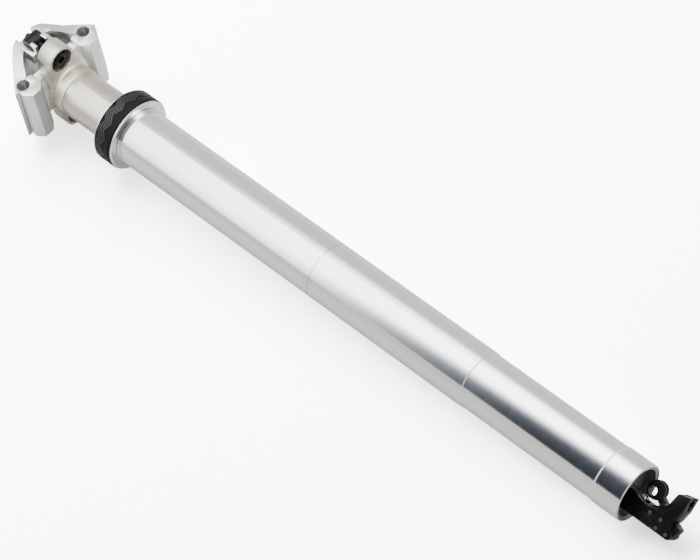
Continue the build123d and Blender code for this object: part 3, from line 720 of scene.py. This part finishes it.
# %% Build the ribs
COLUMNS, ROWS, LEAN = 28, 4, math.radians(28)
FIRST_ROW, ROW_PITCH = STRIP_TOP + 1.75, 1.3
RIB_LIFT = 0.03  # the ribs' middle above the sunken floor
RIB_HEIGHT, RIB_WIDTH = 0.46, 0.62
RIB_RADIUS = BAND_FLOOR + RIB_LIFT
COLUMN_WIDTH = 2 * math.pi * RIB_RADIUS / COLUMNS
holder = link(bpy.data.objects.new("ribs_holder", bpy.data.meshes.new("ribs_holder")))
pattern = holder.modifiers.new("ribs", "NODES")
pattern.node_group = rib_tree
identifiers = {item.name: item.identifier for item in face.items_tree if item.in_out == "INPUT"}
for label, value in {
    "Columns": COLUMNS,
    "Rows": ROWS,
    "Radius": RIB_RADIUS * MM,
    "Bottom": FIRST_ROW * MM,
    "Row Pitch": ROW_PITCH * MM,
    "Column Width": COLUMN_WIDTH * MM,
    "Lean": LEAN,
    "Rib Size": (COLUMN_WIDTH / math.cos(LEAN) * MM, RIB_HEIGHT * MM, RIB_WIDTH * MM),
    "Material": silicone_ribs_painted_sheen,
}.items():
    pattern[identifiers[label]] = value
rib_mesh = final_mesh(holder)
# The ribs take the lighter copy of the silicone, a painted sheen.
place_mesh("band_ribs", rib_mesh, silicone_ribs_painted_sheen, "lower_body")
rib_mesh.set_sharp_from_angle(angle=SHARP_ANGLE)
print("ribs", COLUMNS * ROWS, "faces", len(rib_mesh.polygons))

# %% [markdown]
# ## Camera, floor and light
# The camera was solved from the outlines in the photograph. The floor lies behind the
# post, square to the side that the camera looks at, and is seen through from behind.

# %% Camera
camera_data = bpy.data.cameras.new("photo_camera")
camera_data.sensor_width = 36.0
camera_data.lens = 174.857
camera = link(bpy.data.objects.new("photo_camera", camera_data))
right = (-0.1213, 0.6764, -0.7265)
up = (0.5467, 0.6564, 0.5199)
back = (0.8285, -0.334, -0.4494)
spot = (1.3987, -0.5609, -0.9039)
camera.matrix_world = Matrix([*zip(right, up, back, spot), (0, 0, 0, 1)])
bpy.context.scene.camera = camera

# %% [markdown]
# A real sheet of white paper is far brighter than the metal that lies on it. So the
# floor has two whites: a very bright one that the camera sees, and a plain one that the
# metal mirrors.


# %% Floor
def bare_material(name):
    """A material with only its output node."""
    material = bpy.data.materials.new(name)
    material.use_nodes = True
    tree = material.node_tree
    tree.nodes.remove(tree.nodes["Principled BSDF"])
    return material, tree


def diffuse(tree, level):
    """A grey diffuse shader of this level."""
    return add(tree, "ShaderNodeBsdfDiffuse", {"Color": (level, level, level, 1)}).outputs[0]


FLOOR_REACH = 6
SEEN_WHITE, MIRRORED_WHITE = 9.0, 1.1
floor_normal = Vector((0.9993, 0.0, 0.0371)).normalized()
floor_point = Vector((-30.4, 0.0, 58.0)) * MM
turn_to = floor_normal.to_track_quat("Z", "Y").to_matrix()
corners = [
    floor_point + turn_to @ Vector((x * FLOOR_REACH, y * FLOOR_REACH, 0))
    for x, y in ((-1, -1), (1, -1), (1, 1), (-1, 1))
]
floor_mesh = bpy.data.meshes.new("floor")
floor_mesh.from_pydata(corners, [], [(0, 1, 2, 3)])
floor = link(bpy.data.objects.new("floor", floor_mesh))
paper, tree = bare_material("paper_floor")
direct = add(tree, "ShaderNodeLightPath").outputs["Is Camera Ray"]
whites = {0: direct, 1: diffuse(tree, MIRRORED_WHITE), 2: diffuse(tree, SEEN_WHITE)}
sheet = add(tree, "ShaderNodeMixShader", whites).outputs[0]
clear = add(tree, "ShaderNodeBsdfTransparent").outputs[0]
behind = add(tree, "ShaderNodeNewGeometry").outputs["Backfacing"]
both = add(tree, "ShaderNodeMixShader", {0: behind, 1: sheet, 2: clear})
tree.links.new(both.outputs[0], tree.nodes["Material Output"].inputs["Surface"])
floor_mesh.materials.append(paper)

# %% Lights
LIT_POINT = Vector((0, 0, -0.12))


def soft_light(name, azimuth, elevation, distance, width, tall, power):
    """A rectangular light at that bearing from the post's middle, facing it."""
    data = bpy.data.lights.new(name, "AREA")
    data.shape = "RECTANGLE"
    data.size, data.size_y, data.energy = width, tall, power
    lamp = link(bpy.data.objects.new(name, data))
    bearing, rise = math.radians(azimuth), math.radians(elevation)
    across = math.cos(rise)
    way = Vector((across * math.cos(bearing), across * math.sin(bearing), math.sin(rise)))
    lamp.location = LIT_POINT + way * distance
    lamp.rotation_euler = way.to_track_quat("Z", "Y").to_euler()
    lamp.visible_glossy = False


soft_light("key", azimuth=12, elevation=27, distance=1.3, width=1.3, tall=0.9, power=16)
soft_light("fill_left", azimuth=60, elevation=55, distance=1.6, width=1.0, tall=1.0, power=8)

# %% White room
ROOM_WHITE = (1.0, 0.99, 0.97, 1)
ROOM_LEVEL, SEEN_EXTRA, SHADE_CUT = 1.15, 5.0, 0.8
world = bpy.data.worlds.new("white_room")
world.use_nodes = True
tree = world.node_tree
rays = add(tree, "ShaderNodeLightPath").outputs
room = maths(tree, "MULTIPLY_ADD", rays["Is Camera Ray"], SEEN_EXTRA, ROOM_LEVEL)
room = subtract(tree, room, multiply(tree, rays["Is Diffuse Ray"], SHADE_CUT))
tree.nodes["Background"].inputs["Color"].default_value = ROOM_WHITE
tree.links.new(room, tree.nodes["Background"].inputs["Strength"])
bpy.context.scene.world = world

# %% [markdown]
# ## What the metal mirrors
# Bare metal shows the room more than its own colour, so the room is drawn on a curved
# card that only reflections see. A softbox glows across its middle, wider towards the
# top, and the lower right corner falls away into a dark blue. Bearings are in degrees
# round the post, and slopes in degrees for each metre of height.

# %% Room card
CARD_RADIUS, CARD_LOW, CARD_HIGH = 0.5, -0.35, 0.8
CARD_START, CARD_END, CARD_COLUMNS = math.radians(-79), math.radians(80), 24
card_points = []
for level in (CARD_LOW, CARD_HIGH):
    for step in range(CARD_COLUMNS + 1):
        bearing = CARD_START + (CARD_END - CARD_START) * step / CARD_COLUMNS
        across, along = CARD_RADIUS * math.cos(bearing), CARD_RADIUS * math.sin(bearing)
        card_points.append((across, along, level))
row_up = CARD_COLUMNS + 1
card_faces = [(k, k + 1, k + 1 + row_up, k + row_up) for k in range(CARD_COLUMNS)]
card_mesh = bpy.data.meshes.new("room_card")
card_mesh.from_pydata(card_points, [], card_faces)
card = link(bpy.data.objects.new("room_card", card_mesh))

# %% Light drawn on the card
BOX_SLOPE, BOX_OUTSIDE, BOX_INSIDE = 53.0, 54.0, 20.0
FADE_START, FADE_END, FADE_LEAST = -95.0, -35.0, 0.25
BOX_LEVEL, BOX_LEVEL_SLOPE = 7.5, -8.8
CORNER_SLOPE, CORNER_BEARING = 170.0, 14.0
CORNER_OUTSIDE, CORNER_INSIDE = 2.0, -40.0
CORNER_TOP, CORNER_FULL = 0.16, -0.11  # heights in metres
CORNER_DARKEST, CORNER_BLUE = 0.008, (0.5, 0.68, 1.0, 1)

glow, tree = bare_material("room_card")
here = add(tree, "ShaderNodeNewGeometry").outputs["Position"]
spot_x, spot_y, spot_z = add(tree, "ShaderNodeSeparateXYZ", {0: here}).outputs
azimuth = maths(tree, "DEGREES", maths(tree, "ARCTAN2", spot_y, spot_x))
leaning = maths(tree, "MULTIPLY_ADD", spot_z, BOX_SLOPE, azimuth)
edge = remap(tree, leaning, BOX_OUTSIDE, BOX_INSIDE)
box = multiply(tree, edge, remap(tree, azimuth, FADE_START, FADE_END, FADE_LEAST, 1.0))
box_level = maths(tree, "MULTIPLY_ADD", spot_z, BOX_LEVEL_SLOPE, BOX_LEVEL)
extra = subtract(tree, box_level, ROOM_LEVEL)
bright = maths(tree, "MULTIPLY_ADD", box, extra, ROOM_LEVEL)
from_corner = maths(tree, "ADD", azimuth, CORNER_BEARING)
corner = maths(tree, "MULTIPLY_ADD", spot_z, CORNER_SLOPE, from_corner)
low_down = remap(tree, spot_z, CORNER_TOP, CORNER_FULL)
dark = multiply(tree, remap(tree, corner, CORNER_OUTSIDE, CORNER_INSIDE), low_down)
strength = multiply(tree, bright, maths(tree, "POWER", CORNER_DARKEST, dark))
tints = {0: dark, 6: ROOM_WHITE, 7: CORNER_BLUE}
tint = add(tree, "ShaderNodeMix", tints, data_type="RGBA").outputs[2]
shine = add(tree, "ShaderNodeEmission", {"Color": tint, "Strength": strength})
tree.links.new(shine.outputs[0], tree.nodes["Material Output"].inputs["Surface"])
card_mesh.materials.append(glow)
card.visible_camera = False
card.visible_shadow = False
card.visible_diffuse = False
